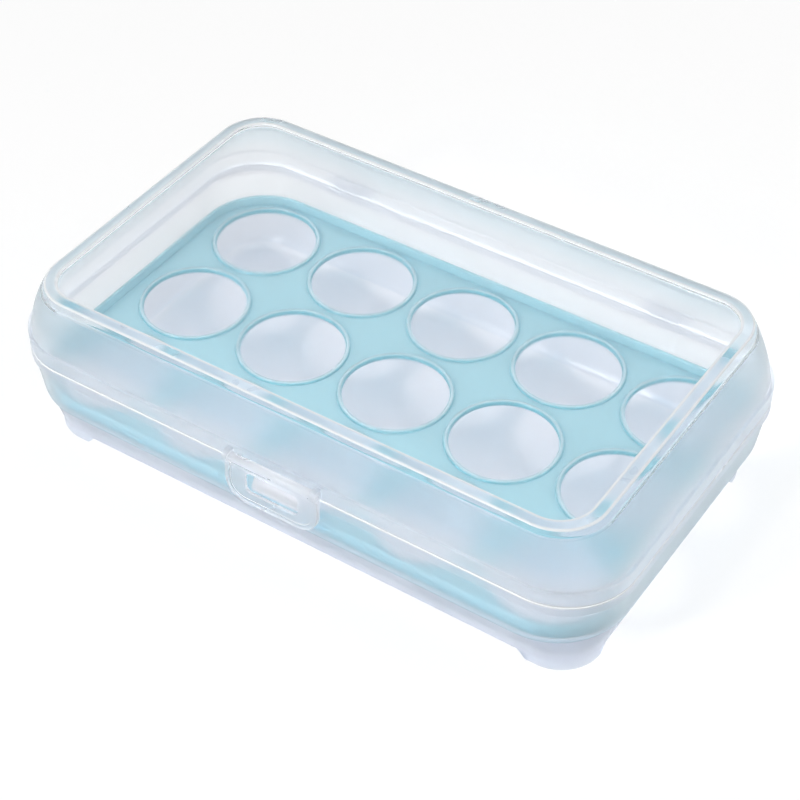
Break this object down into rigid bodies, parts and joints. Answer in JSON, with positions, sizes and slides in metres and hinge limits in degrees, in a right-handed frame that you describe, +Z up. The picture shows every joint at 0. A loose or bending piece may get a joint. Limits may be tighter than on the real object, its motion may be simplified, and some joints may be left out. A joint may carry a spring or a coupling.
{
  "type": "egg keeper with flip lid",
  "caption": "Rectangular fridge egg keeper with a hinged see-through lid, a front swing latch, a lift-out tray of round egg cells and four corner feet.",
  "frame": {"origin": "centre of the footprint at the level the feet stand on", "axes": "+X along the length, +Y towards the hinges, -Y towards the latch, +Z up"},
  "size_m": [0.246, 0.1565, 0.0677],
  "materials": {
    "frosted_clear": "frosted translucent moulding",
    "clear_lid": "clear polished top, frosted walls",
    "latch_frost": "frosted translucent moulding",
    "tinted_blue": "translucent pale blue, satin"
  },
  "bodies": {
    "base": {"base": "frosted_clear"},
    "tray": {"egg_tray": "tinted_blue"},
    "lid": {"lid": "clear_lid"},
    "latch": {"latch": "latch_frost"}
  },
  "joints": [
    {"name": "lid_hinge", "type": "hinge", "parent": "base", "child": "lid", "pos_m": [0, 0.07605, 0.04], "axis": [-1, 0, 0], "range_deg": [0, 110]},
    {"name": "latch_pivot", "type": "hinge", "parent": "lid", "child": "latch", "pos_m": [0, -0.07495, 0.0436], "axis": [-1, 0, 0], "range_deg": [-3.1, 185]},
    {"name": "tray_lift", "type": "slide", "parent": "base", "child": "tray", "axis": [0, 0, 1], "range_m": [0, 0.01]}
  ]
}
